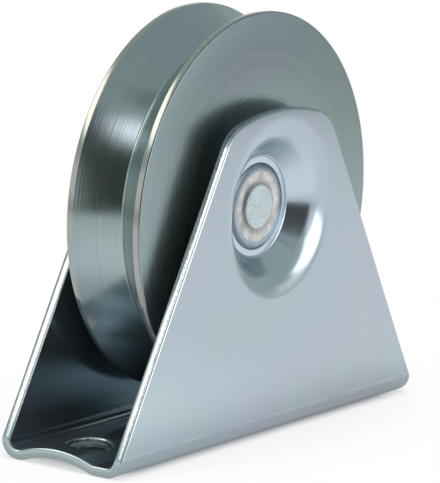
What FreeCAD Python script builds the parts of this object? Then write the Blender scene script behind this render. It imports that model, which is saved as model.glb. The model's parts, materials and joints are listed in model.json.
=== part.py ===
import FreeCAD, Part

import math
import os

from FreeCAD import Vector

# A V-groove track wheel that turns on one ball bearing, on a pin riveted between the two cheeks of a
# bracket folded from sheet steel. Sizes are in millimetres. X runs along the bracket, Y along the axle
# and Z up. The origin is the middle of the bracket's base, at the level of its two feet.

# Wheel, one turned piece
wheel_diameter = 100.0
wheel_width = 22.6
groove_angle = 90.0
groove_root_radius = 2.7
rim_land = 1.8
rim_chamfer = 0.3
bore_chamfer = 0.6
bore_shoulder_height = 3.0

# Deep-groove ball bearing
bearing_bore = 20.0
bearing_outside = 47.0
bearing_width = 14.0
ball_diameter = 7.938
ball_count = 8
ring_chamfer = 0.8
gap_between_rings = 5.5
raceway_clearance = 0.03
seal_step = 1.2
seal_thickness = 1.0
seal_inset = 0.4
seal_lip_clearance = 0.15
seal_bead_width = 0.7
seal_bead_height = 0.3

# Ball cage, two pressed ribbons riveted together
cage_sheet = 0.7
cage_ring_clearance = 1.3
cage_ball_clearance = 0.15
cage_rivet_diameter = 1.2
cage_rivet_head_diameter = 2.0
cage_rivet_head_height = 0.5

# Retaining ring behind the bearing
clip_thickness = 1.75
clip_groove_depth = 1.25
clip_band = 3.2
clip_gap = 9.0
clip_lug_drop = 2.0
clip_lug_radius = 2.4
clip_eye_diameter = 2.2
clip_clearance = 0.05

# Pin, shouldered, with a head formed over each end
spacer_thickness = 2.0
spacer_wall = 3.0
neck_diameter = 14.0
head_diameter = 22.6
head_height = 0.9
head_round = 0.85
head_core_diameter = 11.5
head_core_height = 1.05
head_trough_height = 0.4

# Bracket, folded from one sheet
sheet = 2.5
bend_inside_radius = 2.5
base_length = 130.0
wheel_side_gap = 5.0
rib_height = 2.1
rib_offset = 1.5
rib_to_bend = 0.3
rib_foot_radius = 4.0
wheel_to_rib_gap = 4.3
cheek_above_dish = 2.2
cheek_beside_dish = 6.1
cheek_crown_radius = 66.0
cheek_shoulder_radius = 11.0
cheek_corner_height = 4.6
cheek_corner_radius = 4.0
mount_hole_diameter = 11.0
mount_hole_from_end = 12.0
mount_hole_rounding = 0.5
sheared_edge_rounding = 0.6

# Dish pressed into each cheek
dish_floor_margin = 1.6
dish_wall_angle = 49.0
dish_lip_radius = 9.3
dish_corner_radius = 0.8

# Clearance between pieces that are pushed together
seat_clearance = 0.02

# Worked out from the sizes above
wheel_radius = wheel_diameter / 2
half_wheel = wheel_width / 2
half_bearing = bearing_width / 2
seat_radius = bearing_outside / 2
bore_radius = bearing_bore / 2
ball_radius = ball_diameter / 2
pitch_radius = (seat_radius + bore_radius) / 2
inner_shoulder_radius = pitch_radius - gap_between_rings / 2
outer_shoulder_radius = pitch_radius + gap_between_rings / 2
cheek_inside = half_wheel + wheel_side_gap
cheek_outside = cheek_inside + sheet
bend_outside_radius = bend_inside_radius + sheet
flat_end = cheek_outside - bend_outside_radius
rib_half_width = flat_end - rib_offset - rib_to_bend
axle_height = rib_height + sheet + wheel_to_rib_gap + wheel_radius
floor_inside = half_bearing + spacer_thickness
floor_outside = floor_inside + sheet
dish_depth = cheek_outside - floor_outside
dish_lean = math.radians(dish_wall_angle)
dish_floor_radius = head_diameter / 2 + dish_floor_margin
dish_arcs_drop = (dish_lip_radius + dish_corner_radius) * (1 - math.cos(dish_lean))
dish_wall_run = (dish_depth - dish_arcs_drop) / math.tan(dish_lean)
dish_arcs_run = (dish_lip_radius + dish_corner_radius) * math.sin(dish_lean)
dish_rim_radius = dish_floor_radius + dish_arcs_run + dish_wall_run
cheek_top = axle_height + dish_rim_radius + cheek_above_dish
cheek_edge_reach = dish_rim_radius + cheek_beside_dish
mount_hole_x = base_length / 2 - mount_hole_from_end
AXLE = Vector(0, 0, axle_height)
ALONG_AXLE = Vector(0, 1, 0)


def line(a, b):
    """A straight edge."""
    return Part.LineSegment(a, b).toShape()


def arc(a, through, b):
    """An arc edge from a to b that passes through a third point."""
    return Part.Arc(a, through, b).toShape()


def one_solid(shape):
    """The single solid that a boolean leaves, with its split faces joined."""
    solids = shape.removeSplitter().Solids
    if len(solids) != 1:
        raise ValueError(f"expected one solid, found {len(solids)}")
    return solids[0]


def turned(outline):
    """Revolves a closed outline about the axle.

    Each entry is a point (radius, y), or for an arc a pair of such points: one on the arc and its end.
    """
    def place(point):
        radius, y = point
        return Vector(radius, y, axle_height)

    edges = []
    here = outline[0]
    for step in outline[1:] + [outline[0]]:
        if isinstance(step[0], tuple):
            through, there = step
            edges.append(arc(place(here), place(through), place(there)))
        else:
            there = step
            edges.append(line(place(here), place(there)))
        here = there
    return Part.Face(Part.Wire(edges)).revolve(AXLE, ALONG_AXLE, 360)


def ring(inside, outside, y_low, y_high, chamfer):
    """A turned ring with its four corners broken."""
    return turned([
        (inside + chamfer, y_low),
        (outside - chamfer, y_low),
        (outside, y_low + chamfer),
        (outside, y_high - chamfer),
        (outside - chamfer, y_high),
        (inside + chamfer, y_high),
        (inside, y_high - chamfer),
        (inside, y_low + chamfer),
    ])


def cylinder(radius, y_low, y_high, x=0.0, above_axle=0.0):
    """A cylinder parallel to the axle."""
    base = AXLE + Vector(x, y_low, above_axle)
    return Part.makeCylinder(radius, y_high - y_low, base, ALONG_AXLE)


def mirrored(shape):
    """The same shape on the other side of the wheel's middle plane."""
    return shape.mirror(Vector(0, 0, 0), ALONG_AXLE)


def round_the_axle(index, radius):
    """A point on a circle about the axle; whole numbers are the balls, halves lie between them."""
    angle = 2 * math.pi * index / ball_count
    return Vector(radius * math.cos(angle), 0, radius * math.sin(angle))


def make_wheel():
    """The wheel: V rim, bearing seat with a shoulder in front, and the clip's groove behind."""
    half_angle = math.radians(groove_angle / 2)
    half_mouth = half_wheel - rim_land
    sharp_root = wheel_radius - half_mouth / math.tan(half_angle)
    root_centre = sharp_root + groove_root_radius / math.sin(half_angle)
    touch_y = groove_root_radius * math.cos(half_angle)
    touch_radius = root_centre - groove_root_radius * math.sin(half_angle)
    shoulder = seat_radius - bore_shoulder_height
    clip_floor = seat_radius + clip_groove_depth
    clip_back = half_bearing + clip_thickness + 2 * clip_clearance
    return turned([
        (shoulder + bore_chamfer, -half_wheel),
        (wheel_radius - rim_chamfer, -half_wheel),
        (wheel_radius, -half_wheel + rim_chamfer),
        (wheel_radius, -half_mouth),
        (touch_radius, -touch_y),
        ((root_centre - groove_root_radius, 0.0), (touch_radius, touch_y)),
        (wheel_radius, half_mouth),
        (wheel_radius, half_wheel - rim_chamfer),
        (wheel_radius - rim_chamfer, half_wheel),
        (seat_radius + bore_chamfer, half_wheel),
        (seat_radius, half_wheel - bore_chamfer),
        (seat_radius, clip_back),
        (clip_floor, clip_back),
        (clip_floor, half_bearing),
        (seat_radius, half_bearing),
        (seat_radius, -half_bearing),
        (shoulder, -half_bearing),
        (shoulder, -half_wheel + bore_chamfer),
    ])


def raceway():
    """The torus that the balls run in, which is cut from both rings."""
    return Part.makeTorus(pitch_radius, ball_radius + raceway_clearance, AXLE, ALONG_AXLE)


def make_outer_ring():
    """The bearing's outer ring, with its raceway and a step for each seal."""
    outside = seat_radius - seat_clearance
    body = ring(outer_shoulder_radius, outside, -half_bearing, half_bearing, ring_chamfer)
    step_depth = seal_inset + seal_thickness
    seal_seat = outer_shoulder_radius + seal_step
    step = cylinder(seal_seat, half_bearing - step_depth, half_bearing + ring_chamfer)
    return one_solid(body.cut([raceway(), step, mirrored(step)]))


def make_inner_ring():
    """The bearing's inner ring, with its raceway."""
    body = ring(bore_radius, inner_shoulder_radius, -half_bearing, half_bearing, ring_chamfer)
    return one_solid(body.cut(raceway()))


def make_seal():
    """The rubber seal on the back of the bearing: a disc with a bead at its outer edge and its lip."""
    outer = outer_shoulder_radius + seal_step - seat_clearance
    inner = inner_shoulder_radius + seal_lip_clearance
    back = half_bearing - seal_inset
    web = back - seal_bead_height
    slope = seal_bead_height
    return turned([
        (inner, back - seal_thickness),
        (outer, back - seal_thickness),
        (outer, back),
        (outer - seal_bead_width, back),
        (outer - seal_bead_width - slope, web),
        (inner + seal_bead_width + slope, web),
        (inner + seal_bead_width, back),
        (inner, back),
    ])


def make_ball(index):
    """One ball on the pitch circle."""
    return Part.makeSphere(ball_radius, AXLE + round_the_axle(index, pitch_radius))


def make_cage_half():
    """One pressed ribbon: flats between the balls and a round pocket over each ball."""
    pocket = ball_radius + cage_ball_clearance
    bulge = pocket + cage_sheet
    inside = inner_shoulder_radius + cage_ring_clearance
    outside = outer_shoulder_radius - cage_ring_clearance
    rivet_hole = cage_rivet_diameter / 2 + seat_clearance
    centres = [AXLE + round_the_axle(index, pitch_radius) for index in range(ball_count)]
    flats = cylinder(outside, 0, cage_sheet)
    band = cylinder(outside, 0, 2 * bulge).cut(cylinder(inside, -bulge, 3 * bulge))
    bulges = [Part.makeSphere(bulge, centre) for centre in centres]
    cuts = [Part.makeSphere(pocket, centre) for centre in centres]
    for index in range(ball_count):
        spot = round_the_axle(index + 0.5, pitch_radius)
        cuts.append(cylinder(rivet_hole, -cage_sheet, 2 * cage_sheet, spot.x, spot.z))
    return one_solid(flats.fuse(bulges).common(band).cut(cuts))


def make_cage_rivets():
    """The small rivets that hold the two ribbons together."""
    rivets = []
    for index in range(ball_count):
        spot = round_the_axle(index + 0.5, pitch_radius)
        shank = cylinder(cage_rivet_diameter / 2, -cage_sheet, cage_sheet, spot.x, spot.z)
        head_end = cage_sheet + cage_rivet_head_height
        head = cylinder(cage_rivet_head_diameter / 2, cage_sheet, head_end, spot.x, spot.z)
        rivets.append(one_solid(shank.fuse([head, mirrored(head)])))
    return Part.makeCompound(rivets)


def make_clip():
    """The open retaining ring in the wheel's groove, with an eyed lug on each end."""
    outer = seat_radius + clip_groove_depth - clip_clearance
    low = half_bearing
    high = half_bearing + clip_thickness
    blank = cylinder(outer, low, high)
    gap = Part.makeBox(clip_gap, clip_thickness, outer, AXLE + Vector(-clip_gap / 2, low, 0))
    shape = blank.cut([cylinder(outer - clip_band, low, high), gap])
    lug_x = clip_gap / 2 + clip_lug_radius
    lug_z = outer - clip_band - clip_lug_drop
    eyes = []
    for x in (-lug_x, lug_x):
        corner = AXLE + Vector(x - clip_lug_radius, low, lug_z)
        stem = Part.makeBox(2 * clip_lug_radius, clip_thickness, outer - lug_z, corner).common(blank)
        shape = shape.fuse([cylinder(clip_lug_radius, low, high, x, lug_z), stem])
        eyes.append(cylinder(clip_eye_diameter / 2, low, high, x, lug_z))
    return one_solid(shape.cut(eyes))


def make_spacer():
    """The washer between the bearing's inner ring and the floor of the front dish."""
    hole = cylinder(bore_radius, -floor_inside, -half_bearing)
    return cylinder(bore_radius + spacer_wall, -floor_inside, -half_bearing).cut(hole)


def make_pin():
    """The pin: a shank in the bearing, a neck through each dish and a head formed over each neck."""
    shank = bore_radius - seat_clearance
    neck = neck_diameter / 2 - seat_clearance
    head = head_diameter / 2
    core = head_core_diameter / 2
    rim = floor_outside + head_height
    corner = head_round * (1 - math.sqrt(0.5))
    half = turned([
        (0.0, 0.0),
        (shank, 0.0),
        (shank, floor_inside),
        (neck, floor_inside),
        (neck, floor_outside),
        (head, floor_outside),
        (head, rim - head_round),
        ((head - corner, rim - corner), (head - head_round, rim)),
        (core, floor_outside + head_trough_height),
        (core, floor_outside + head_core_height),
        (0.0, floor_outside + head_core_height),
    ])
    return one_solid(half.fuse(mirrored(half)))


def rib_curve(lift):
    """The base's wave between its two feet, on the face that lies the given height above the underside."""
    centres = (rib_half_width ** 2 + rib_height ** 2) / (2 * rib_height)
    lean = math.asin(rib_half_width / centres)
    foot = rib_foot_radius + sheet - lift
    foot_centre = rib_foot_radius + sheet
    crown_top = rib_height + lift

    def foot_point(angle, side):
        y = rib_half_width - foot * math.sin(angle)
        return Vector(0, rib_offset + side * y, foot_centre - foot * math.cos(angle))

    edges = [arc(foot_point(lean, -1), Vector(0, rib_offset, crown_top), foot_point(lean, 1))]
    for side in (-1, 1):
        edges.append(arc(foot_point(0, side), foot_point(lean / 2, side), foot_point(lean, side)))
    return edges


def side_of_section(side, lift, tall):
    """One foot, bend and cheek of the folded section, on one face of the sheet."""
    radius = bend_outside_radius - lift
    slant = radius * math.sqrt(0.5)
    foot_start = Vector(0, rib_offset + side * rib_half_width, lift)
    foot_end = Vector(0, side * flat_end, lift)
    bend_middle = Vector(0, side * (flat_end + slant), bend_outside_radius - slant)
    bend_end = Vector(0, side * (flat_end + radius), bend_outside_radius)
    top = Vector(0, side * (flat_end + radius), tall)
    return [line(foot_start, foot_end), arc(foot_end, bend_middle, bend_end), line(bend_end, top)]


def make_folded_strip():
    """The folded sheet before its outline is cut: a wavy base, two bends and two tall cheeks."""
    tall = cheek_top + sheet
    edges = rib_curve(0) + rib_curve(sheet)
    for side in (-1, 1):
        edges += side_of_section(side, 0, tall) + side_of_section(side, sheet, tall)
        edges.append(line(Vector(0, side * cheek_inside, tall), Vector(0, side * cheek_outside, tall)))
    section = Part.Face(Part.Wire(Part.sortEdges(edges)[0]))
    section.translate(Vector(-base_length, 0, 0))
    return section.extrude(Vector(2 * base_length, 0, 0))


def edges_through(shape, points):
    """The edges of a shape that pass through any of the given points."""
    vertices = [Part.Vertex(point) for point in points]
    return [edge for edge in shape.Edges if any(edge.distToShape(v)[0] < seat_clearance for v in vertices)]


def make_outline_block():
    """A block with the bracket's side view: straight foot ends, leaning edges and a crowned top."""
    half = base_length / 2
    corner = Vector(half, 0, cheek_corner_height)
    to_axle = AXLE - corner
    lean = math.atan2(-to_axle.x, to_axle.z) - math.asin(cheek_edge_reach / to_axle.Length)

    # where the leaning edge meets the crown's circle
    crown_centre = Vector(0, 0, cheek_top - cheek_crown_radius)
    up_the_edge = Vector(-math.sin(lean), 0, math.cos(lean))
    offset = corner - crown_centre
    along = offset.dot(up_the_edge)
    run = -along + math.sqrt(along ** 2 - offset.Length ** 2 + cheek_crown_radius ** 2)
    shoulder = corner + up_the_edge * run

    def left(point):
        return Vector(-point.x, point.y, point.z)

    below = Vector(half, 0, -sheet)
    wire = Part.Wire([
        line(left(below), below),
        line(below, corner),
        line(corner, shoulder),
        arc(shoulder, Vector(0, 0, cheek_top), left(shoulder)),
        line(left(shoulder), left(corner)),
        line(left(corner), left(below)),
    ])
    width = 2 * cheek_outside + 2 * sheet
    start = Vector(0, -width / 2, 0)
    face = Part.Face(wire)
    face.translate(start)
    block = face.extrude(ALONG_AXLE * width)
    block = block.makeFillet(cheek_shoulder_radius, edges_through(block, [shoulder, left(shoulder)]))
    return block.makeFillet(cheek_corner_radius, edges_through(block, [corner, left(corner)]))


def round_the_sheared_edges(body, block):
    """Rounds both edges of the cut that runs all round the folded sheet."""
    sides = [face for face in block.Faces if abs(face.normalAt(0, 0).y) < math.sqrt(0.5)]
    cut_faces = []
    for face in body.Faces:
        middle = Part.Vertex(face.CenterOfMass)
        point = Part.Vertex(middle.distToShape(face)[1][0][1])
        if any(point.distToShape(side)[0] < seat_clearance for side in sides):
            cut_faces.append(face)
    edges = [edge for face in cut_faces for edge in face.Edges]
    counts = {}
    for edge in edges:
        counts[edge.hashCode()] = counts.get(edge.hashCode(), 0) + 1
    outer = [edge for edge in edges if counts[edge.hashCode()] == 1]
    return body.makeFillet(sheared_edge_rounding, outer)


def make_back_dish():
    """The dish of the back cheek: a rounded lip, a conical wall and a flat floor with the pin's hole."""
    leaning = (math.sin(dish_lean), math.cos(dish_lean))
    halfway = (math.sin(dish_lean / 2), math.cos(dish_lean / 2))
    lip_centre = cheek_outside - dish_lip_radius
    corner_centre = floor_outside + dish_corner_radius
    hole = neck_diameter / 2

    def on_lip(radius, way):
        return dish_rim_radius - radius * way[0], lip_centre + radius * way[1]

    def on_corner(radius, way):
        return dish_floor_radius + radius * way[0], corner_centre - radius * way[1]

    lip = dish_lip_radius
    corner = dish_corner_radius
    return turned([
        (dish_rim_radius, cheek_outside),
        (on_lip(lip, halfway), on_lip(lip, leaning)),
        on_corner(corner, leaning),
        (on_corner(corner, halfway), (dish_floor_radius, floor_outside)),
        (hole, floor_outside),
        (hole, floor_inside),
        (dish_floor_radius, floor_inside),
        (on_corner(corner + sheet, halfway), on_corner(corner + sheet, leaning)),
        on_lip(lip - sheet, leaning),
        (on_lip(lip - sheet, halfway), (dish_rim_radius, cheek_inside)),
    ])


def make_bracket():
    """The bracket: one sheet with a ribbed base, two bends, a dish in each cheek and two holes."""
    block = make_outline_block()
    body = round_the_sheared_edges(one_solid(make_folded_strip().common(block)), block)
    opening = cylinder(dish_rim_radius, cheek_inside, cheek_outside)
    dish = make_back_dish()
    body = body.cut([opening, mirrored(opening)]).fuse([dish, mirrored(dish)])
    for x in (-mount_hole_x, mount_hole_x):
        body = body.cut(Part.makeCylinder(mount_hole_diameter / 2, rib_height + sheet, Vector(x, 0, 0)))
    body = one_solid(body)
    rims = []
    crown_reach = math.sqrt((mount_hole_diameter / 2) ** 2 - rib_offset ** 2)
    for x in (-mount_hole_x, mount_hole_x):
        at_crown = Vector(x + crown_reach, rib_offset, rib_height + sheet)
        rims += edges_through(body, [at_crown])
    return one_solid(body.makeFillet(mount_hole_rounding, rims))


def save(name, shape):
    """Writes one sub-part."""
    if not shape.isValid() or not shape.Solids:
        raise ValueError(f"{name} has no valid solid")
    shape.exportStep(f"parts/{name}.step")
    print(f"{name}: {len(shape.Solids)} solid(s), {shape.Volume:.1f} mm3")


os.makedirs("parts", exist_ok=True)
save("bracket", make_bracket())
save("axle_pin", make_pin())
save("spacer_front", make_spacer())
save("spacer_back", mirrored(make_spacer()))
save("wheel", make_wheel())
save("retaining_ring", make_clip())
save("bearing_outer_ring", make_outer_ring())
save("bearing_inner_ring", make_inner_ring())
save("seal_front", mirrored(make_seal()))
save("seal_back", make_seal())
save("cage_front", mirrored(make_cage_half()))
save("cage_back", make_cage_half())
save("cage_rivets", make_cage_rivets())
for number in range(ball_count):
    save(f"ball_{number + 1}", make_ball(number))
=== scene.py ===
# %% [markdown]
# # A V-groove track wheel in a folded bracket
# The real object is a steel wheel that turns between the cheeks of a zinc-plated sheet bracket.
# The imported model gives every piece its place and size. This lesson models the three pieces that
# show most, the bracket, the wheel and the pin, as finer meshes on the same sizes, and gives every
# piece a finish made of shader nodes.

# %% Load the frame
import json
import math

import bmesh
import bpy
from mathutils import Matrix, Vector


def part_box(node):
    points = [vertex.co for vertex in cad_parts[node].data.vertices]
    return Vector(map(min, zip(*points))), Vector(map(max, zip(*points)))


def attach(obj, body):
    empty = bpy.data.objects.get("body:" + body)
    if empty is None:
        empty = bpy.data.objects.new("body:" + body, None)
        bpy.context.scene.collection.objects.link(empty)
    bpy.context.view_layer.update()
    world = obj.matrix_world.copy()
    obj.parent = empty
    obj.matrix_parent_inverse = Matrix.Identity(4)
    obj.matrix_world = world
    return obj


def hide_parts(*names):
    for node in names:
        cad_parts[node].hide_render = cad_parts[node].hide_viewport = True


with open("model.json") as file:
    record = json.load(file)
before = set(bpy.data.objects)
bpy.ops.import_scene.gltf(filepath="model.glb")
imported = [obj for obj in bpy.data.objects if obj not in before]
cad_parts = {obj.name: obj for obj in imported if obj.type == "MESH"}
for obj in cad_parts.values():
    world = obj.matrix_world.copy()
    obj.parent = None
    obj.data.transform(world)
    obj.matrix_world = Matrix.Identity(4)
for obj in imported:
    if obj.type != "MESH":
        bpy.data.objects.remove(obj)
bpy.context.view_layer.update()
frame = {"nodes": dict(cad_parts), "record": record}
nodes = frame["nodes"]

# %% [markdown]
# ## Sizes
# Whatever the frame can tell is read from it: the wheel's radius and width, the height of its axle,
# the bracket's length and width, and how far the pin's head stands out. The rest are the sizes of
# the pressed sheet, which no box shows. All are in metres, and points of a mesh that lie closer
# together than `WELD` count as one.

# %% Sizes from the frame
MM = 0.001
WELD = 0.001 * MM
wheel_low, wheel_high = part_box("wheel")
bracket_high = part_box("bracket")[1]
pin_low, pin_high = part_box("axle_pin")
wheel_radius = (wheel_high.z - wheel_low.z) / 2
half_wheel = wheel_high.y
axle_height = (wheel_high.z + wheel_low.z) / 2
half_base = bracket_high.x
cheek_outside = bracket_high.y
cheek_top = bracket_high.z
head_radius = (pin_high.z - pin_low.z) / 2
pin_end = pin_high.y
AXLE = Vector((0, 0, axle_height))
ALONG_AXLE = Vector((0, 1, 0))
print("wheel", wheel_radius, half_wheel, "axle height", axle_height)

# %% Sizes of the pressed sheet
sheet = 2.5 * MM
bend_radius = 5.0 * MM
rib_height = 2.1 * MM
rib_offset = 1.5 * MM
rib_to_bend = 0.3 * MM
rib_foot_radius = 4.0 * MM
corner_height = 4.6 * MM
corner_radius = 4.0 * MM
shoulder_radius = 11.0 * MM
crown_radius = 66.0 * MM
dish_lip_radius = 9.3 * MM
dish_corner_radius = 0.8 * MM
dish_floor_margin = 1.6 * MM
dish_wall_angle = math.radians(49)
cheek_above_dish = 2.2 * MM
cheek_beside_dish = 6.1 * MM
pin_hole_radius = 7.0 * MM
bolt_hole_radius = 5.5 * MM
bolt_hole_x = half_base - 12.0 * MM
edge_rounding = 0.6 * MM
edge_rolling = 1.2 * MM
hole_rounding = 0.8 * MM
rim_chamfer = 0.3 * MM
core_radius = 5.75 * MM
ring_radius = 9.1 * MM
floor_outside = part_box("spacer_back")[1].y + sheet
dish_rim_radius = cheek_top - axle_height - cheek_above_dish
dish_floor_radius = head_radius + dish_floor_margin
print("dish from", dish_rim_radius, "to", dish_floor_radius, "deep", cheek_outside - floor_outside)

# %% [markdown]
# ## Shader maths
# A finish is easier to read as arithmetic than as boxes and noodles. `Wire` holds one output of one
# node, and its operators add Math nodes. `Nodes.add` makes any other node from its type, its
# settings and the values or wires of its sockets. `rise` and `near` turn a distance into a mask.


# %% Wire
class Wire:
    """One output socket, with arithmetic."""

    def __init__(self, tree, socket):
        self.tree = tree
        self.socket = socket

    def _maths(self, operation, first, second=None):
        inputs = {0: first} if second is None else {0: first, 1: second}
        return self.tree.add("ShaderNodeMath", {"operation": operation}, inputs)

    def __add__(self, other):
        return self._maths("ADD", self, other)

    __radd__ = __add__

    def __sub__(self, other):
        return self._maths("SUBTRACT", self, other)

    def __rsub__(self, other):
        return self._maths("SUBTRACT", other, self)

    def __mul__(self, other):
        return self._maths("MULTIPLY", self, other)

    __rmul__ = __mul__

    def __truediv__(self, other):
        return self._maths("DIVIDE", self, other)

    def root(self):
        return self._maths("SQRT", self)

    def size(self):
        return self._maths("ABSOLUTE", self)

    def rise(self, low, high):
        """0 below low and 1 above high, with a smooth step between."""
        settings = {"interpolation_type": "SMOOTHSTEP", "clamp": True}
        return self.tree.add("ShaderNodeMapRange", settings, {0: self, 1: low, 2: high, 3: 0.0, 4: 1.0})

    def near(self, centre, half_width):
        """1 at centre, fading to 0 at half_width from it."""
        return 1 - (self - centre).size().rise(0.0, half_width)


# %% Nodes
class Nodes:
    """The node tree of one material or world."""

    def __init__(self, owner):
        owner.use_nodes = True
        self.name = owner.name
        self.tree = owner.node_tree
        self.tree.nodes.clear()

    def add(self, kind, settings=None, inputs=None, output=0):
        """One output of a new node, or a list of outputs where a tuple names them."""
        node = self.tree.nodes.new(kind)
        for name, value in (settings or {}).items():
            if name == "stops":
                self._set_stops(node.color_ramp, value)
            else:
                setattr(node, name, value)
        for name, value in (inputs or {}).items():
            if isinstance(value, Wire):
                self.tree.links.new(value.socket, node.inputs[name])
            elif value is not None:
                node.inputs[name].default_value = value
        if not node.outputs:
            return None
        if isinstance(output, tuple):
            return [Wire(self, node.outputs[name]) for name in output]
        return Wire(self, node.outputs[output])

    def _set_stops(self, ramp, stops):
        while len(ramp.elements) < len(stops):
            ramp.elements.new(0.5)
        for element, (position, colour) in zip(ramp.elements, stops):
            element.position = position
            element.color = (*colour, 1)

    def place(self):
        """Object coordinates, in metres."""
        return self.add("ShaderNodeTexCoord", output="Object")

    def parts(self, vector):
        """The x, y and z of a vector."""
        return self.add("ShaderNodeSeparateXYZ", inputs={0: vector}, output=(0, 1, 2))

    def noise(self, vector, scale, detail=2.0, roughness=0.5, stretch=None):
        """Noise in space, with its number of grains to the metre as its scale."""
        if stretch:
            vector = self.add("ShaderNodeMapping", inputs={"Vector": vector, "Scale": stretch})
        inputs = {"Vector": vector, "Scale": scale, "Detail": detail, "Roughness": roughness}
        return self.add("ShaderNodeTexNoise", None, inputs)

    def noise_along(self, distance, scale, detail=2.0, roughness=0.5):
        """Noise that changes with one distance only, as turning marks do."""
        inputs = {"W": distance, "Scale": scale, "Detail": detail, "Roughness": roughness}
        return self.add("ShaderNodeTexNoise", {"noise_dimensions": "1D"}, inputs)

    def mix(self, factor, first, second):
        """A mix of two colours, each a wire or three numbers."""
        inputs = {0: factor}
        for socket, colour in ((6, first), (7, second)):
            inputs[socket] = colour if isinstance(colour, Wire) else (*colour, 1)
        settings = {"data_type": "RGBA", "clamp_factor": True}
        return self.add("ShaderNodeMix", settings, inputs, output=2)

    def bump(self, height, strength, distance):
        inputs = {"Height": height, "Strength": strength, "Distance": distance}
        return self.add("ShaderNodeBump", None, inputs)

    def seen_directly(self):
        """1 for rays from the camera, from mirrors and through glass, 0 for rays that gather light."""
        kinds = ("Is Camera Ray", "Is Glossy Ray", "Is Transmission Ray")
        camera_ray, glossy, transmission = self.add("ShaderNodeLightPath", output=kinds)
        return camera_ray + glossy + transmission

    def finish(self, shader):
        self.add("ShaderNodeOutputMaterial", None, {"Surface": shader})
        print(self.name, "has", len(self.tree.nodes), "nodes")

    def metal(self, colour, roughness, normal=None, metallic=1.0):
        inputs = {"Base Color": colour, "Metallic": metallic, "Roughness": roughness, "Normal": normal}
        self.finish(self.add("ShaderNodeBsdfPrincipled", None, inputs))


# %% Material helpers
def new_material(name):
    material = bpy.data.materials.new(name)
    return material, Nodes(material)


def diagonal(across, up):
    """How far away a point is that lies so far across and so far up."""
    return (across * across + up * up).root()


# %% [markdown]
# ## Zinc plate on sheet
# The bracket is bright zinc plate with a clear passivate: a cool grey mirror that a rolled surface
# blurs, with faint lilac and green clouds a few centimetres across. The clouds are one slow noise
# read through a colour ramp, and a finer noise moves the roughness. A thin painted highlight, broken
# up by noise, lies where each bend begins, so a narrow band at that height is made lighter. The flat
# floor of a dish has a painted bluer sheen, and a thin painted shade line runs round its corner. An
# image could hold all this, but it would have to be unwrapped, and noise in space needs no map.


# %% Zinc plate
def zinc_plate():
    material, n = new_material("zinc_plate")
    place = n.place()
    x, y, z = n.parts(place)
    clouds = n.noise(place, 22.0, 2.0, 0.55)
    tint = n.add("ShaderNodeValToRGB", {"stops": [
        (0.30, (0.42, 0.51, 0.53)),
        (0.46, (0.425, 0.505, 0.56)),
        (0.58, (0.45, 0.495, 0.56)),
        (0.72, (0.435, 0.52, 0.545)),
    ]}, {0: clouds})
    grain = n.noise(place, 900.0, 2.0, 0.6, stretch=(1.0, 1.0, 0.25))
    shade = n.mix(grain.rise(0.35, 0.75) * 0.10, tint, (0.38, 0.43, 0.48))
    on_cheek = y.size().rise(cheek_outside - 0.2 * MM, cheek_outside - 0.05 * MM)
    # Painted highlight: a thin lighter band where each bend begins, broken up by noise.
    bend_highlight = z.near(bend_radius + 0.25 * MM, 0.45 * MM) * on_cheek
    broken_bend_highlight = bend_highlight * n.noise(place, 120.0, 3.0, 0.6).rise(0.35, 0.65)
    lit = n.mix(broken_bend_highlight * 0.40, shade, (0.66, 0.74, 0.76))
    radius = diagonal(x, z - axle_height)
    # Painted shade: a thin dark line round the corner of the dish floor.
    corner = radius.near(dish_floor_radius + 0.1 * MM, 0.30 * MM) * (1 - on_cheek)
    # Painted sheen: the dish floor is made lighter and bluer.
    on_floor = 1 - radius.rise(dish_floor_radius - 0.3 * MM, dish_floor_radius)
    painted_floor_sheen = n.mix(on_floor * (1 - on_cheek) * 0.5, lit, (0.66, 0.76, 0.90))
    colour = n.mix(corner * 0.45, painted_floor_sheen, (0.10, 0.12, 0.17))
    blur = 0.15 + 0.06 * n.noise(place, 60.0, 3.0, 0.6) + 0.03 * grain
    relief = n.bump(grain, 0.05, 0.02 * MM)
    n.metal(colour, blur, relief, metallic=0.95)
    return material
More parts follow.
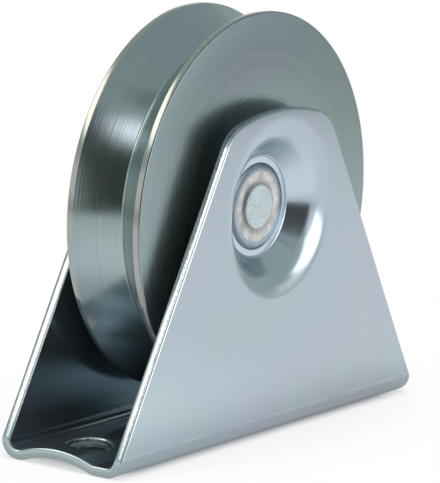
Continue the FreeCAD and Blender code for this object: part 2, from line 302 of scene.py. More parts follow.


# %% [markdown]
# ## Sheared edge
# A press shears the blank: a smooth burnished band on the punch side and a torn, grainy band on the
# other, with dark specks where they meet. On the cheeks the depth in the sheet follows from the
# distance to the middle plane, so that one coordinate draws the bands. Painted light and shade go
# over them: the edge is painted dull by the bends and pale along the slopes, with painted shade on
# its inner side further up, round the crown and inside the bolt holes. The bands could be strips of
# faces, but noise breaks up their border the way that tearing does.


# %% Sheared edge
def sheared_edge():
    material, n = new_material("sheared_edge")
    place = n.place()
    x, y, z = n.parts(place)
    through = (cheek_outside - y.size()) / sheet
    on_cheek = z.rise(4.0 * MM, 12.0 * MM)
    ragged = n.noise(place, 1500.0, 3.0, 0.7)
    high = z.rise(38 * MM, 70 * MM)
    bands_meet = 0.27
    wander = 0.20 * (ragged - 0.5) - 0.22 * high
    meeting = (through + wander).near(bands_meet, 0.10 + 0.06 * high) * on_cheek
    specks = meeting * ragged.rise(0.36, 0.54)
    torn = through.rise(0.25, 0.40) * on_cheek
    grit = n.noise(place, 2600.0, 2.0, 0.6)
    pale = n.mix(grit.rise(0.3, 0.8), (0.84, 0.88, 0.90), (0.60, 0.64, 0.66))
    dull = n.mix(grit.rise(0.3, 0.8), (0.42, 0.50, 0.52), (0.36, 0.44, 0.45))
    # Painted light and shade: the edge is dull by the bends and pale along the slopes.
    painted_light_by_height = n.mix(z.rise(5.0 * MM, 14.0 * MM), dull, pale)
    # Painted shade on the inner side of the edge, further up.
    shaded = n.mix(through.rise(0.55, 0.85) * high * 0.8, painted_light_by_height, (0.17, 0.20, 0.22))
    # Painted shade round the crown.
    painted_crown_shade = z.rise(cheek_top - 9 * MM, cheek_top - 4 * MM)
    cut = n.mix(painted_crown_shade * 0.9, shaded, (0.20, 0.26, 0.30))
    # Painted shade inside the bolt holes.
    from_hole = diagonal(x.size() - bolt_hole_x, y)
    painted_hole_shade = 1 - from_hole.rise(bolt_hole_radius + 0.02 * MM, bolt_hole_radius + 0.15 * MM)
    base = n.mix(painted_hole_shade * 0.7, cut, (0.05, 0.065, 0.07))
    colour = n.mix(specks * 0.85, base, (0.06, 0.07, 0.08))
    blur = 0.13 + 0.06 * torn + 0.08 * grit
    relief = n.bump(ragged * (0.35 + 0.65 * torn), 0.35, 0.06 * MM)
    n.metal(colour, blur, relief, metallic=0.85)
    return material


# %% [markdown]
# ## Turned steel
# The lathe leaves fine rings round the axle, and they blur a reflection across themselves only. The
# distance from the axle drives a one-dimensional noise, so every mark is a true circle on the
# faces, the V's flanks and the lands alike. The rings tilt the surface a little outwards and
# inwards, which a bump from the same noise gives. A wave texture draws rings too, but evenly
# spaced ones, and a tool never cuts that evenly. The lands are warmer than the rest. The faces get
# painted shade and a painted bluer sheen towards the rim, and the broken corner a painted dark reflection.


# %% Turned steel
def turned_steel():
    material, n = new_material("turned_steel")
    place = n.place()
    x, y, z = n.parts(place)
    radius = diagonal(x, z - axle_height)
    across = radius + 0.5 * y
    rings = n.noise_along(across, 1500.0, 3.0, 0.7)
    bands = n.noise_along(across, 230.0, 2.0, 0.5)
    clouds = n.noise(place, 14.0, 1.5, 0.5)
    tint = n.add("ShaderNodeValToRGB", {"stops": [
        (0.32, (0.29, 0.345, 0.385)),
        (0.47, (0.30, 0.38, 0.375)),
        (0.62, (0.305, 0.395, 0.37)),
        (0.75, (0.35, 0.35, 0.37)),
    ]}, {0: clouds})
    shade = n.mix(rings.rise(0.35, 0.75) * 0.22, tint, (0.20, 0.25, 0.25))
    banded = n.mix(bands.rise(0.45, 0.7) * 0.12, shade, (0.42, 0.47, 0.47))
    on_face = y.size().rise(half_wheel - 0.12 * MM, half_wheel - 0.02 * MM)
    # Painted dark reflection on the broken corner.
    broken = radius.rise(wheel_radius - rim_chamfer, wheel_radius - 0.6 * rim_chamfer) * (1 - on_face)
    chamfer = broken * y.size().rise(half_wheel - rim_chamfer, half_wheel - 0.7 * rim_chamfer)
    # Painted light on the faces: shade over the whole face and a lighter, bluer sheen towards the rim.
    painted_rim_sheen = on_face * radius.rise(36 * MM, 45 * MM)
    painted_face_shade = n.mix(on_face * 0.12, banded, (0.05, 0.06, 0.06))
    faced = n.mix(painted_rim_sheen * 0.30, painted_face_shade, (0.30, 0.375, 0.42))
    on_land = radius.rise(wheel_radius - 0.10 * MM, wheel_radius - 0.03 * MM)
    landed = n.mix(on_land * 0.7, faced, (0.39, 0.385, 0.345))
    colour = n.mix(chamfer * 0.6, landed, (0.02, 0.025, 0.03))
    blur = 0.11 + 0.09 * rings + 0.04 * bands + 0.11 * on_face
    relief = n.bump(rings, 0.35, 0.035 * MM)
    n.metal(colour, blur, relief, metallic=0.92)
    return material


# %% [markdown]
# ## The pin's formed head
# A spinning punch forms the head over: it burnishes the rounded side, leaves a bare ring round the
# middle and an untouched, grainy end of the pin in the centre. Painted shade lies on the side towards
# its foot and on the ring beside the core, where they lie deepest. One material with masks could draw
# all three, but their borders are edges of the mesh, so each zone has a short material of its own.


# %% Burnished side
def pin_plate():
    material, n = new_material("pin_plate")
    place = n.place()
    x, _, z = n.parts(place)
    radius = diagonal(x, z - axle_height)
    patches = n.noise(place, 260.0, 3.0, 0.6)
    plate = n.mix(patches.rise(0.35, 0.7), (0.31, 0.37, 0.43), (0.41, 0.46, 0.50))
    # Painted shade towards the foot of the side, where it lies deepest.
    painted_foot_shade = radius.rise(ring_radius + 0.5 * MM, head_radius - 0.4 * MM)
    colour = n.mix(painted_foot_shade * 0.8, plate, (0.08, 0.11, 0.14))
    n.metal(colour, 0.15 + 0.10 * patches, n.bump(patches, 0.10, 0.05 * MM))
    return material


# %% Bare ring
def bare_ring():
    material, n = new_material("bare_ring")
    place = n.place()
    x, _, z = n.parts(place)
    radius = diagonal(x, z - axle_height)
    rings = n.noise_along(radius, 1900.0, 2.0, 0.6)
    patches = n.noise(place, 340.0, 3.0, 0.6)
    colour = n.mix(patches.rise(0.3, 0.72), (0.44, 0.435, 0.42), (0.71, 0.705, 0.69))
    # Painted shade beside the core, where the ring lies deepest.
    painted_core_shade = 1 - radius.rise(core_radius + 0.2 * MM, core_radius + 2.0 * MM)
    shade = n.mix(rings.rise(0.4, 0.8) * 0.10 + painted_core_shade * 0.65, colour, (0.22, 0.21, 0.20))
    n.metal(shade, 0.36 + 0.12 * patches, n.bump(rings + 0.6 * patches, 0.25, 0.05 * MM))
    return material


# %% Grainy end
def grainy_end():
    material, n = new_material("grainy_end")
    place = n.place()
    grains = n.noise(place, 1700.0, 3.0, 0.65)
    patches = n.noise(place, 420.0, 2.0, 0.5)
    colour = n.mix(grains.rise(0.35, 0.7), (0.46, 0.54, 0.56), (0.62, 0.70, 0.71))
    shade = n.mix(patches.rise(0.5, 0.75) * 0.3, colour, (0.40, 0.45, 0.47))
    n.metal(shade, 0.46 + 0.10 * grains, n.bump(grains, 0.5, 0.06 * MM))
    return material


# %% [markdown]
# ## The pieces inside
# The bearing, its washers and its ring lie behind the cheeks, and little of them shows. They could
# be modelled again with finer edges, but nobody would see it, so they keep their solids from the
# frame. One function makes their steels, each from two tints and a blur, and another makes the
# rubber of the seals.


# %% Finishes of the inner pieces
def plain_steel(name, light, dark, blur):
    material, n = new_material(name)
    place = n.place()
    x, _, z = n.parts(place)
    rings = n.noise_along(diagonal(x, z - axle_height), 1600.0, 2.0, 0.6)
    patches = n.noise(place, 180.0, 2.0, 0.5)
    colour = n.mix(patches.rise(0.35, 0.7), light, dark)
    n.metal(colour, blur + 0.08 * rings, n.bump(rings, 0.15, 0.02 * MM))
    return material


def seal_rubber():
    material, n = new_material("seal_rubber")
    place = n.place()
    dust = n.noise(place, 700.0, 3.0, 0.6)
    colour = n.mix(dust.rise(0.4, 0.8), (0.022, 0.022, 0.024), (0.05, 0.05, 0.052))
    inputs = {"Base Color": colour, "Roughness": 0.45 + 0.2 * dust, "Normal": n.bump(dust, 0.2, 0.04 * MM)}
    n.finish(n.add("ShaderNodeBsdfPrincipled", None, inputs))
    return material


# %% Dress the inner pieces
# Each steel's light tint, dark tint and blur.
STEELS = {
    "washer_steel": ((0.60, 0.63, 0.66), (0.50, 0.53, 0.56), 0.25),
    "bearing_steel": ((0.62, 0.63, 0.64), (0.54, 0.55, 0.57), 0.12),
    "cage_steel": ((0.52, 0.52, 0.51), (0.44, 0.44, 0.44), 0.30),
    "spring_steel": ((0.12, 0.12, 0.125), (0.08, 0.08, 0.085), 0.34),
}
finishes = {name: plain_steel(name, *looks) for name, looks in STEELS.items()}
finishes["seal_rubber"] = seal_rubber()
for row in frame["record"]["subparts"]:
    finish = finishes.get(row["material_slot"])
    if finish:
        cad = nodes[row["node"]]
        cad.data.materials.clear()
        cad.data.materials.append(finish)

# %% [markdown]
# ## Mesh helpers
# A few helpers serve every new piece. `points_on_arc` rounds a corner of a profile, `chain` turns
# points into a line of edges, `spin_round` turns such a line into a round body, and `sharpen` keeps
# its corners crisp. `piece` makes a finished mesh an object that rides on its body and stands for
# a node of the frame.


# %% Points and edges
def points_on_arc(centre, radius, start, end, steps):
    """Points on an arc in a plane, from one angle to another, both ends included."""
    angles = [start + (end - start) * i / steps for i in range(steps + 1)]
    return [(centre[0] + radius * math.cos(a), centre[1] + radius * math.sin(a)) for a in angles]


def from_axle(point):
    """A point's distance from the axle."""
    return math.hypot(point.x, point.z - axle_height)


def chain(bm, points, closed=False):
    """New edges that join the points in turn, and the last to the first if closed."""
    verts = [bm.verts.new(p) for p in points]
    following = verts[1:] + verts[:1] if closed else verts[1:]
    return [bm.edges.new(pair) for pair in zip(verts, following)]


# %% Round bodies
def spin_round(bm, edges, steps, centre=AXLE, axis=ALONG_AXLE):
    """Spins edges once round an axis, about the axle unless told otherwise, and closes the seam."""
    verts = list(dict.fromkeys(v for e in edges for v in e.verts))
    bmesh.ops.spin(bm, geom=verts + edges, cent=centre, axis=axis, dvec=(0, 0, 0),
                   angle=2 * math.pi, steps=steps, use_merge=True, use_duplicate=False)
    bmesh.ops.remove_doubles(bm, verts=bm.verts, dist=WELD)


def sharpen(bm, angle):
    """Smooth shading, with hard edges where faces meet at more than an angle."""
    for face in bm.faces:
        face.smooth = True
    for edge in bm.edges:
        if len(edge.link_faces) == 2:
            edge.smooth = edge.calc_face_angle() < angle


# %% Objects
def object_from(bm, name, materials):
    """Ends a bmesh as an object of the scene."""
    mesh = bpy.data.meshes.new(name)
    bm.to_mesh(mesh)
    bm.free()
    for material in materials:
        mesh.materials.append(material)
    made = bpy.data.objects.new(name, mesh)
    bpy.context.scene.collection.objects.link(made)
    print(name, "has", len(mesh.vertices), "vertices and", len(mesh.polygons), "faces")
    return made


def piece(name, bm, materials, body, node):
    """An object that rides on a body and stands for a node of the frame."""
    made = object_from(bm, name, materials)
    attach(made, body)
    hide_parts(node)
    return made


# %% [markdown]
# ## The wheel
# A lathe makes the wheel, so one profile is drawn in the plane through the axle and spun round it.
# The profile takes the V, its rounded root, the lands, the broken corners, the bearing's seat and
# the groove of the retaining ring. Cuts in a cylinder would give the same body, but a profile is
# what the turner works from, and its sizes are easy to change. Sharp corners of steel are never
# quite sharp, and a tiny bevel on each ring of edges catches the light as the real one does.

# %% Wheel sizes
rim_land = 1.8 * MM
root_floor = 8.4 * MM
root_radius = 0.6 * MM
bearing_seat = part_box("bearing_outer_ring")[1].x
bearing_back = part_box("bearing_outer_ring")[1].y
clip_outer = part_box("retaining_ring")[1].x
clip_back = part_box("retaining_ring")[1].y
shoulder_height = 3.0 * MM
bore_chamfer = 0.6 * MM
fit = 0.05 * MM
edge_break = 0.10 * MM
WHEEL_STEPS = 240


# %% Wheel
def wheel_profile():
    """The wheel's section as (radius, y), all the way round."""
    mouth = half_wheel - rim_land
    lean = math.atan2(mouth, root_floor)
    centre = wheel_radius - root_floor + root_radius
    root = points_on_arc((centre, 0.0), root_radius, math.pi + lean, math.pi - lean, 8)
    seat = bearing_seat
    shoulder = seat - shoulder_height
    return [
        (shoulder + bore_chamfer, -half_wheel),
        (wheel_radius - rim_chamfer, -half_wheel),
        (wheel_radius, -half_wheel + rim_chamfer),
        (wheel_radius, -mouth),
        *root,
        (wheel_radius, mouth),
        (wheel_radius, half_wheel - rim_chamfer),
        (wheel_radius - rim_chamfer, half_wheel),
        (seat + bore_chamfer, half_wheel),
        (seat, half_wheel - bore_chamfer),
        (seat, clip_back + fit),
        (clip_outer + fit, clip_back + fit),
        (clip_outer + fit, bearing_back),
        (seat, bearing_back),
        (seat, -bearing_back),
        (shoulder, -bearing_back),
        (shoulder, -half_wheel + bore_chamfer),
    ]


def make_wheel(material):
    bm = bmesh.new()
    edges = chain(bm, [(r, y, axle_height) for r, y in wheel_profile()], closed=True)
    spin_round(bm, edges, WHEEL_STEPS)
    bmesh.ops.recalc_face_normals(bm, faces=bm.faces)
    seams = [e for e in bm.edges if len(e.link_faces) == 2]
    corners = [e for e in seams if e.calc_face_angle() > math.radians(30)]
    bmesh.ops.bevel(bm, geom=corners, offset=edge_break, offset_type="OFFSET", segments=2, profile=0.5,
                    affect="EDGES", material=-1, clamp_overlap=True)
    sharpen(bm, math.radians(50))
    piece("turned_wheel", bm, [material], "wheel", "wheel")


make_wheel(turned_steel())

# %% [markdown]
# ## The pin
# Both ends of the pin are formed over alike, so half of it is spun and then mirrored. Its profile
# runs out along the shank, round the head's shoulder, down into the trough and up the core. Each
# end could be spun by itself, but a mirrored half keeps both alike. The faces of the ring and of
# the core take their own finishes by where they lie.

# %% Pin
head_height = 0.5 * MM
head_round = 0.45 * MM
trough_height = 0.1 * MM
trough_slope = 1.25 * MM
core_fillet = 0.35 * MM
core_rounding = 0.25 * MM
shank_radius = 9.98 * MM
neck_radius = 6.98 * MM
PIN_STEPS = 128


def make_pin(materials):
    floor_inside = floor_outside - sheet
    rim = floor_outside + head_height
    across = head_radius - ring_radius
    turns = [math.pi / 2 * i / 8 for i in range(9)]
    shoulder = [(ring_radius + across * math.cos(a), rim - head_round * (1 - math.sin(a))) for a in turns]
    profile = [
        (shank_radius, 0.0),
        (shank_radius, floor_inside),
        (neck_radius, floor_inside),
        (neck_radius, floor_outside),
        (head_radius, floor_outside),
        *shoulder,
        (core_radius + core_fillet + trough_slope, rim - 0.1 * MM),
        (core_radius + core_fillet, floor_outside + trough_height),
        (core_radius, floor_outside + trough_height + 0.1 * MM),
        (core_radius, pin_end - core_rounding),
        (core_radius - core_rounding, pin_end),
        (0.0, pin_end),
    ]
    bm = bmesh.new()
    edges = chain(bm, [(r, y, axle_height) for r, y in profile])
    spin_round(bm, edges, PIN_STEPS)
    bmesh.ops.mirror(bm, geom=bm.verts[:] + bm.edges[:] + bm.faces[:], axis="Y", merge_dist=WELD)
    bmesh.ops.remove_doubles(bm, verts=bm.verts, dist=WELD)
    bmesh.ops.recalc_face_normals(bm, faces=bm.faces)
    for face in bm.faces:
        middle = face.calc_center_median()
        above_floor = abs(middle.y) - floor_outside
        if above_floor > 0 and from_axle(middle) < core_radius + 0.1 * MM:
            face.material_index = 2
        elif above_floor > 0.05 * MM and from_axle(middle) < ring_radius:
            face.material_index = 1
    sharpen(bm, math.radians(35))
    piece("formed_pin", bm, materials, "bracket", "axle_pin")


make_pin([pin_plate(), bare_ring(), grainy_end()])

# %% [markdown]
# ## The bracket
# A folded bracket is one sheet. It could be cut from a block, but then nothing keeps the wall even.
# So only its outer skin is modelled: a strip that runs round one bend, over the ribbed base and
# round the other bend, then the two flat cheeks and the two dishes. Solidify gives the skin the
# sheet's thickness, `round_the_rim` rounds its cut edge, and a boolean punches the bolt holes.
#
# The blank's side view comes first. The real one is made of lines and circles, so this one is too:
# a rounded foot, a leaning edge that passes the axle at `edge_reach`, a shoulder and a flat arc
# over the top.

# %% Outline of the blank
edge_reach = dish_rim_radius + cheek_beside_dish
FOOT_STEPS = 6


def blank_outline():
    """Half the blank's side view as (x, z), from the foot's end up to the crown's middle.

    It is drawn inside the real outline by the rounding of the sheared edge.
    """
    corner = Vector((half_base, corner_height))
    to_axle = Vector((0, axle_height)) - corner
    lean = math.atan2(-to_axle.x, to_axle.y) - math.asin(edge_reach / to_axle.length)
    up_the_edge = Vector((-math.sin(lean), math.cos(lean)))
    inwards = Vector((-math.cos(lean), -math.sin(lean)))

    # The foot's circle touches the end of the base and the leaning edge.
    drop = corner_radius * math.tan(lean / 2)
    foot_centre = (half_base - corner_radius, corner_height - drop)
    foot = points_on_arc(foot_centre, corner_radius - edge_rounding, 0.0, lean, FOOT_STEPS)

    # The shoulder's circle touches the leaning edge and, from inside, the crown's circle.
    crown_centre = Vector((0, cheek_top - crown_radius))
    offset = corner + inwards * shoulder_radius - crown_centre
    along = offset.dot(up_the_edge)
    between_centres = crown_radius - shoulder_radius
    run = -along + math.sqrt(along ** 2 - offset.length_squared + between_centres ** 2)
    centre = corner + inwards * shoulder_radius + up_the_edge * run
    spread = math.atan2(centre.y - crown_centre.y, centre.x - crown_centre.x)
    shoulder = points_on_arc(centre, shoulder_radius - edge_rounding, lean, spread, 16)
    crown = points_on_arc(crown_centre, crown_radius - edge_rounding, spread, math.pi / 2, 12)
    return foot + shoulder + crown[1:]


outline = blank_outline()
print("blank outline", len(outline), "points on each side")


# %% [markdown]
# ### The base
# A rib runs the length of the base and stiffens it. Its section is an arc over two small arcs at
# its feet, a little off the middle of the base. A sculpted bulge would look alike from afar, but
# the end of the bracket shows the section, so it is drawn exactly.

# %% Section of the base
flat_end = cheek_outside - bend_radius
rib_half_width = flat_end - rib_offset - rib_to_bend
rib_centres = (rib_half_width ** 2 + rib_height ** 2) / (2 * rib_height)
rib_lean = math.asin(rib_half_width / rib_centres)
rib_foot = rib_foot_radius + sheet
rib_crown = rib_centres - rib_foot


def section_of_base():
    """The outer skin's section as (y, z), from one bend's top to the other's."""
    bend = points_on_arc((flat_end, bend_radius), bend_radius, 0.0, -math.pi / 2, 14)
    quarter = math.pi / 2
    foot_arc = points_on_arc((rib_half_width, rib_foot), rib_foot, -quarter, -quarter - rib_lean, 6)
    crown_arc = points_on_arc((0, rib_height - rib_crown), rib_crown, quarter - rib_lean, quarter, 8)
    rib = foot_arc + crown_arc[1:]
    back_half = [(rib_offset + y, z) for y, z in rib]
    front_half = [(rib_offset - y, z) for y, z in reversed(rib[:-1])]
    return bend + back_half + front_half + [(-y, z) for y, z in reversed(bend)]


def top_of_rib(y):
    """Height of the sheet's upper face on the rib's crown."""
    radius = rib_crown + sheet
    return rib_height + sheet - radius + math.sqrt(radius ** 2 - (y - rib_offset) ** 2)


def reach_at(height):
    """How far the blank reaches along X at a height near its foot."""
    start = corner_height - corner_radius * math.tan(math.atan2(*slope_of_edge()) / 2)
    inner_radius = corner_radius - edge_rounding
    if height <= start:
        return half_base - edge_rounding
    rise = min((height - start) / inner_radius, 1.0)
    return half_base - edge_rounding - inner_radius * (1 - math.sqrt(1 - rise * rise))


def slope_of_edge():
    """Run and rise of the blank's leaning edge."""
    below, above = outline[FOOT_STEPS], outline[FOOT_STEPS + 1]
    return below[0] - above[0], above[1] - below[1]


# %% [markdown]
# ### The cheeks
# Each cheek has a pressed dish that brings its middle in against the wheel's washer. The dish is
# spun from its profile: a rounded lip, a straight wall and a flat floor. The flat round it is
# bridged from the dish's rim to the outline, and because it is flat, how it is filled doesn't show.


# %% Dish profile
def dish_profile():
    """The dish's outer face as (radius, y), from the flat of the cheek to the pin's hole."""
    lip = points_on_arc((dish_rim_radius, cheek_outside - dish_lip_radius), dish_lip_radius,
                        math.pi / 2, math.pi / 2 + dish_wall_angle, 14)
    floor_arc = points_on_arc((dish_floor_radius, floor_outside + dish_corner_radius), dish_corner_radius,
                              -math.pi / 2 + dish_wall_angle, -math.pi / 2, 8)
    return lip + floor_arc + [(pin_hole_radius, floor_outside)]


# %% Cheek
DISH_STEPS = 128
EDGE_STEPS = 24


def add_cheek(bm, side):
    """The flat of one cheek above its bend, filled between its outline and the dish, and the dish."""
    above = [Vector(p) for p in outline if p[1] > bend_radius + 0.01 * MM]
    start = Vector((reach_at(bend_radius), bend_radius))
    foot = [p for p in above if p.y < 2 * bend_radius]
    top = above[len(foot):]
    slope = [foot[-1].lerp(top[0], i / EDGE_STEPS) for i in range(1, EDGE_STEPS)]
    right = [start] + foot + slope + top
    bottom = [Vector((start.x * (1 - i / EDGE_STEPS), bend_radius)) for i in range(EDGE_STEPS)]
    half = list(reversed(bottom)) + right[1:]
    left = [Vector((-p.x, p.y)) for p in reversed(half[:-1])]
    y = side * cheek_outside
    loop = [Vector((0, bend_radius))] + half + left
    rim = chain(bm, [(p.x, y, p.y) for p in loop], closed=True)
    circle = points_on_arc((0, axle_height), dish_rim_radius, 0.0, 2 * math.pi, DISH_STEPS)[:-1]
    hole = chain(bm, [(x, y, z) for x, z in circle], closed=True)
    bmesh.ops.bridge_loops(bm, edges=rim + hole)
    edges = chain(bm, [(r, side * depth, axle_height) for r, depth in dish_profile()])
    spin_round(bm, edges, DISH_STEPS)


# %% Base
def add_base(bm):
    """The base and both bends, as rows that run the length of the bracket."""
    edges = chain(bm, [(-reach_at(z), y, z) for y, z in section_of_base()])
    for step in range(1 - EDGE_STEPS, EDGE_STEPS + 1):
        made = bmesh.ops.extrude_edge_only(bm, edges=edges)["geom"]
        verts = {g for g in made if isinstance(g, bmesh.types.BMVert)}
        edges = [g for g in made if isinstance(g, bmesh.types.BMEdge) and verts.issuperset(g.verts)]
        for vert in verts:
            vert.co.x = reach_at(vert.co.z) * step / EDGE_STEPS


# %% [markdown]
# ### Holes and cut edges
# The bolt holes go through the rib's crown, so their cutters are bent to follow its top, and they
# flare there to leave a rounded rim. Solidify leaves a flat strip along the cut. A Bevel modifier
# could round it, but a press rolls the edge over further through the sheet than along its faces, so
# the strip's points are moved onto that section instead.

# %% Bolt holes
HOLE_STEPS = 96


def punch(target, x):
    """A cutter for one bolt hole, flared at the top so that it leaves a rounded upper rim."""
    bm = bmesh.new()
    mouth = bolt_hole_radius + hole_rounding
    below = -3 * sheet
    rim = points_on_arc((mouth, -hole_rounding), hole_rounding, math.pi, math.pi / 2, 6)
    profile = [(0, below), (bolt_hole_radius, below), *rim, (mouth, sheet), (0, sheet)]
    edges = chain(bm, [(r, 0, z) for r, z in profile])
    spin_round(bm, edges, HOLE_STEPS, centre=(0, 0, 0), axis=(0, 0, 1))
    bmesh.ops.recalc_face_normals(bm, faces=bm.faces)
    for vert in bm.verts:
        vert.co.z += top_of_rib(vert.co.y)
        vert.co.x += x
    for face in bm.faces:
        face.material_index = 1
        face.smooth = True
    cutter = object_from(bm, "punch", target.data.materials)
    cut = target.modifiers.new("bolt_hole", "BOOLEAN")
    cut.operation = "DIFFERENCE"
    cut.solver = "EXACT"
    cut.object = cutter
    return cutter


def apply_modifiers(made):
    """Bakes an object's modifiers into its mesh."""
    graph = bpy.context.evaluated_depsgraph_get()
    mesh = bpy.data.meshes.new_from_object(made.evaluated_get(graph))
    made.modifiers.clear()
    made.data = mesh


# %% Rounded rim
def rounded_section():
    """How far through the sheet, and how far out, each point of the rounded edge lies."""
    steps = 5
    turns = [math.pi / 2 * i / steps for i in range(steps + 1)]
    half = [(edge_rolling * (1 - math.cos(a)), edge_rounding * math.sin(a)) for a in turns]
    return half + [(sheet - through, out) for through, out in reversed(half)]


def round_the_rim(made):
    """Rounds both corners of the flat strip that Solidify leaves along the cut.

    Every edge that crosses the strip is divided, and its new points move onto the rounded section.
    The strip round the pin's hole stays flat.
    """
    bm = bmesh.new()
    bm.from_mesh(made.data)
    rungs = [e for e in bm.edges if all(f.material_index == 1 for f in e.link_faces)]
    rungs = [e for e in rungs if from_axle(e.verts[0].co) > 2 * pin_hole_radius]
    outwards = bm.verts.layers.float_vector.new("outwards")
    across = bm.verts.layers.float_vector.new("across")
    share = bm.verts.layers.float.new("share")
    for edge in rungs:
        first, last = edge.verts
        normals = [face.normal for face in edge.link_faces]
        for vert, part in ((first, 0.0), (last, 1.0)):
            vert[outwards] = sum(normals, Vector()).normalized()
            vert[across] = last.co - first.co
            vert[share] = part
    section = rounded_section()
    pieces = len(section) - 1
    divided = bmesh.ops.subdivide_edges(bm, edges=rungs, cuts=pieces - 1, use_grid_fill=True)
    parts = divided["geom_inner"] + divided["geom_split"]
    for vert in {part for part in parts if isinstance(part, bmesh.types.BMVert)}:
        step = round(vert[share] * pieces)
        if 0 < step < pieces:
            through, out = section[step]
            vert.co += vert[across] * (through / sheet - step / pieces) + vert[outwards] * out
    for face in bm.faces:
        face.smooth = True
    vectors = bm.verts.layers.float_vector
    for name in ("outwards", "across"):
        vectors.remove(vectors[name])
    numbers = bm.verts.layers.float
    numbers.remove(numbers["share"])
    bm.to_mesh(made.data)
    bm.free()


# %% Bracket
SEAM = 0.003 * MM


def make_bracket(materials):
    bm = bmesh.new()
    add_base(bm)
    add_cheek(bm, -1)
    add_cheek(bm, 1)
    bmesh.ops.remove_doubles(bm, verts=bm.verts, dist=SEAM)
    bmesh.ops.recalc_face_normals(bm, faces=bm.faces)
    flat = min(bm.faces, key=lambda f: f.calc_center_median().z)
    if flat.normal.z > 0:
        bmesh.ops.reverse_faces(bm, faces=bm.faces)
    made = piece("folded_bracket", bm, materials, "bracket", "bracket")
    wall = made.modifiers.new("wall", "SOLIDIFY")
    wall.thickness = sheet
    wall.offset = -1
    wall.use_even_offset = True
    wall.use_quality_normals = True
    wall.material_offset_rim = 1
    apply_modifiers(made)
    round_the_rim(made)
    cutters = [punch(made, x) for x in (-bolt_hole_x, bolt_hole_x)]
    apply_modifiers(made)
    for cutter in cutters:
        bpy.data.objects.remove(cutter)
    even = made.modifiers.new("even", "WEIGHTED_NORMAL")
    even.keep_sharp = True
    even.weight = 100
    apply_modifiers(made)
    print("bracket after its modifiers:", len(made.data.polygons), "faces")


make_bracket([zinc_plate(), sheared_edge()])

# %% [markdown]
# ## The floor
# The object stands on pale paper. Under and close to the object the paper is matt and takes its
# shadow. Further out it glows plain white to the camera, as the background does. The metal mirrors
# the same paper, so masks set how bright it looks there: dim beside the object's foot and again far
# out, and brightest in a patch to its front left. Only the camera and mirrors see the glow, and no
# soft light comes from it. A white floor under strong lamps would do without masks, but it would
# bleach the object too.


# %% Floor finish
def floor_paper():
    material, n = new_material("floor_white")
    place = n.place()
    paper = n.noise(place, 8.0, 2.0, 0.5)
    colour = n.mix(paper, (0.90, 0.90, 0.90), (0.87, 0.87, 0.875))
    matt = n.add("ShaderNodeBsdfDiffuse", None, {"Color": colour})
    x, y, _ = n.parts(place)
    # How far a place lies past the bracket's outline, and masks from that: outside the outline,
    # close by, and away from the shadow.
    past_cheek = y.size() - cheek_outside
    past_end = x.size() - half_base
    outside = 1 - (1 - past_cheek.rise(-8 * MM, 2 * MM)) * (1 - past_end.rise(-14 * MM, 0.0))
    close = (1 - past_cheek.rise(0.0, 42 * MM)) * (1 - past_end.rise(0.0, 50 * MM))
    away = 1 - (1 - past_cheek.rise(20 * MM, 120 * MM)) * (1 - past_end.rise(20 * MM, 120 * MM))
    distant = diagonal(x, y).rise(0.44, 0.59)
    front_left = 1 - diagonal(x + 0.06, y + 0.10).rise(0.04, 0.15)
    bright = n.mix(front_left, (1.04, 1.04, 1.04), (1.35, 1.37, 1.40))
    studio = n.mix(0.50 * close + 0.58 * distant, bright, (0.0, 0.0, 0.0))
    camera_ray = n.add("ShaderNodeLightPath", output="Is Camera Ray")
    glow = n.add("ShaderNodeEmission", None, {"Color": n.mix(camera_ray, studio, (1.0, 1.0, 1.0))})
    share = outside * n.seen_directly() * (0.65 + 0.35 * camera_ray * away)
    n.finish(n.add("ShaderNodeMixShader", None, {0: share, 1: matt, 2: glow}))
    return material


# %% Floor
floor_radius = 4.0
floor_gap = 0.02 * MM


def make_floor(material):
    bm = bmesh.new()
    bmesh.ops.create_circle(bm, cap_ends=True, segments=96, radius=floor_radius,
                            matrix=Matrix.Translation((0, 0, -floor_gap)))
    floor = object_from(bm, "floor", [material])


make_floor(floor_paper())

# %% [markdown]
# ## The studio
# Polished metal shows the room. Lamps alone would show in it as spots, so the studio has panels
# that only reflections see. A grey ceiling closes the top. A dark wall and two small dark flags
# stand in front, and their reflections are the dark places in the V and in the dish. Bright boxes
# stand in front, on the left and behind on the left, and dim cards on the right and behind. Each
# panel fades out at its borders, so that no reflection ends in a hard line.


# %% Directions
def towards(azimuth, elevation):
    """The direction from the object to a place, in degrees. Azimuth 0 is in front, at -Y."""
    a, e = math.radians(azimuth), math.radians(elevation)
    return Vector((math.sin(a) * math.cos(e), -math.cos(a) * math.cos(e), math.sin(e)))


def facing(direction, distance):
    """Places a panel at a distance from the object, with its face turned to it."""
    middle = AXLE + direction * distance
    turn = direction.to_track_quat("Z", "Y")
    return Matrix.Translation(middle) @ turn.to_matrix().to_4x4()


# %% Panel
def panel_glow(name, width, height, colour, soft):
    """A glow that fades out over a share of the panel's shorter side."""
    material, n = new_material(name)
    u, v, _ = n.parts(n.add("ShaderNodeTexCoord", output="UV"))
    border = soft * min(width, height)
    inside_x = (0.5 - (u - 0.5).size()).rise(0.0, border / width)
    inside_y = (0.5 - (v - 0.5).size()).rise(0.0, border / height)
    clear = n.add("ShaderNodeBsdfTransparent")
    glow = n.add("ShaderNodeEmission", None, {"Color": (*colour, 1), "Strength": 1.0})
    n.finish(n.add("ShaderNodeMixShader", None, {0: inside_x * inside_y, 1: clear, 2: glow}))
    return material


def panel(name, azimuth, elevation, width, height, distance, colour, soft):
    """A glowing panel that only reflections see."""
    bm = bmesh.new()
    bm.loops.layers.uv.new("panel")
    bmesh.ops.create_grid(bm, x_segments=1, y_segments=1, size=0.5, calc_uvs=True)
    bmesh.ops.scale(bm, vec=(width, height, 1), verts=bm.verts)
    place = facing(towards(azimuth, elevation), distance)
    bmesh.ops.transform(bm, matrix=place, verts=bm.verts)
    made = object_from(bm, name, [panel_glow(name, width, height, colour, soft)])
    made.visible_camera = False
    made.visible_diffuse = False
    made.visible_shadow = False
    made.visible_transmission = False


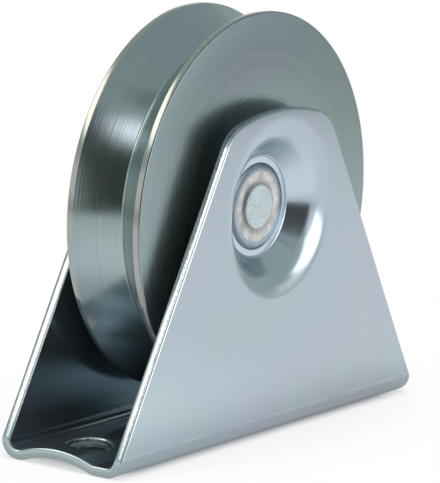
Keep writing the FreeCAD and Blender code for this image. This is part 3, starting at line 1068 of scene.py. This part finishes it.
# %% Studio
# Each panel's azimuth and elevation in degrees, width, height and distance in metres, colour,
# and the share of its shorter side over which it fades out.
PANELS = {
    "ceiling": (0, 90, 8.0, 8.0, 1.6, (0.50, 0.57, 0.55), 0.05),
    "dark_wall": (-43, 17, 0.30, 0.54, 0.48, (0.012, 0.015, 0.012), 0.10),
    "upper_flag": (-18, 51, 0.18, 0.11, 0.53, (0.16, 0.20, 0.19), 0.5),
    "dish_flag": (-28, 32, 0.06, 0.06, 0.123, (0.02, 0.025, 0.02), 0.3),
    "lilac_box": (-36, 36, 0.18, 0.15, 0.38, (2.9, 2.7, 3.0), 0.5),
    "cream_box": (-146, 43, 1.05, 0.70, 1.3, (3.1, 2.9, 2.65), 0.25),
    "side_box": (-108, 41, 0.85, 0.45, 1.3, (2.6, 2.65, 2.65), 0.25),
    "groove_box": (-64, 42, 0.36, 0.24, 1.0, (2.3, 2.4, 2.5), 0.4),
    "front_box": (12, 11, 1.1, 0.90, 1.3, (2.9, 2.95, 3.0), 0.12),
    "right_card": (118, -5, 0.25, 0.10, 0.28, (0.25, 0.26, 0.33), 0.4),
    "far_card": (86, 10, 1.9, 0.80, 1.4, (0.50, 0.57, 0.55), 0.15),
    "back_card": (175, 14, 1.3, 0.62, 1.3, (0.12, 0.15, 0.15), 0.2),
}
for name, settings in PANELS.items():
    panel(name, *settings)

# %% [markdown]
# ## Lamp and world
# One wide, weak lamp overhead gives the floor its soft shadow, and the metal doesn't mirror it. The
# world lights the object with a grey of about 0.6, and is white to the camera and in reflections.
# A brighter world would need no lamp, but it would light every side alike.

# %% Lamp and world
lamp_place = Vector((-0.15, -0.1, 1.3))
lamp_data = bpy.data.lights.new("overhead", "AREA")
lamp_data.shape = "DISK"
lamp_data.size = 1.2
lamp_data.energy = 12.0
lamp = bpy.data.objects.new("overhead", lamp_data)
lamp.location = lamp_place
lamp.rotation_euler = (lamp_place - AXLE).to_track_quat("Z", "Y").to_euler()
lamp.visible_glossy = False
bpy.context.scene.collection.objects.link(lamp)

world = bpy.data.worlds.new("studio")
bpy.context.scene.world = world
w = Nodes(world)
level = w.mix(w.seen_directly(), (0.58, 0.59, 0.60), (1.0, 1.0, 1.0))
sky = w.add("ShaderNodeBackground", None, {"Color": level, "Strength": 1.0})
w.add("ShaderNodeOutputWorld", None, {"Surface": sky})
print("lamp of", lamp_data.energy, "watts, and a world of", len(w.tree.nodes), "nodes")

# %% [markdown]
# ## Camera
# A long lens from the left front, a little above the wheel. The numbers are the camera's azimuth,
# elevation and roll in degrees, its distance in metres, the point that it looks at, and the focal
# length and the picture's height in pixels. A camera set by eye would be a degree or two off, so
# these were fitted to the outlines in the photograph.

# %% Camera
azimuth = -54.719
elevation = 11.286
roll = math.radians(1.780)
distance = 1.0622
look_at = Vector((0.00065, 0.0, axle_height - 0.01093))
focal_pixels = 4118.8
frame_height = 483

back = towards(azimuth, elevation)
level_right = Vector((0, 0, 1)).cross(back).normalized()
level_up = back.cross(level_right)
right = level_right * math.cos(roll) + level_up * math.sin(roll)
up = level_up * math.cos(roll) - level_right * math.sin(roll)
turn = Matrix((right, up, back)).transposed().to_4x4()

camera_data = bpy.data.cameras.new("camera")
camera = bpy.data.objects.new("camera", camera_data)
camera.matrix_world = Matrix.Translation(look_at + back * distance) @ turn
camera_data.sensor_width = 36.0
camera_data.lens = focal_pixels / frame_height * camera_data.sensor_width
camera_data.clip_end = 100.0
bpy.context.scene.collection.objects.link(camera)
bpy.context.scene.camera = camera
bpy.context.scene.view_settings.view_transform = "Standard"
print("camera of", round(camera_data.lens, 1), "mm at", list(camera.matrix_world.translation))
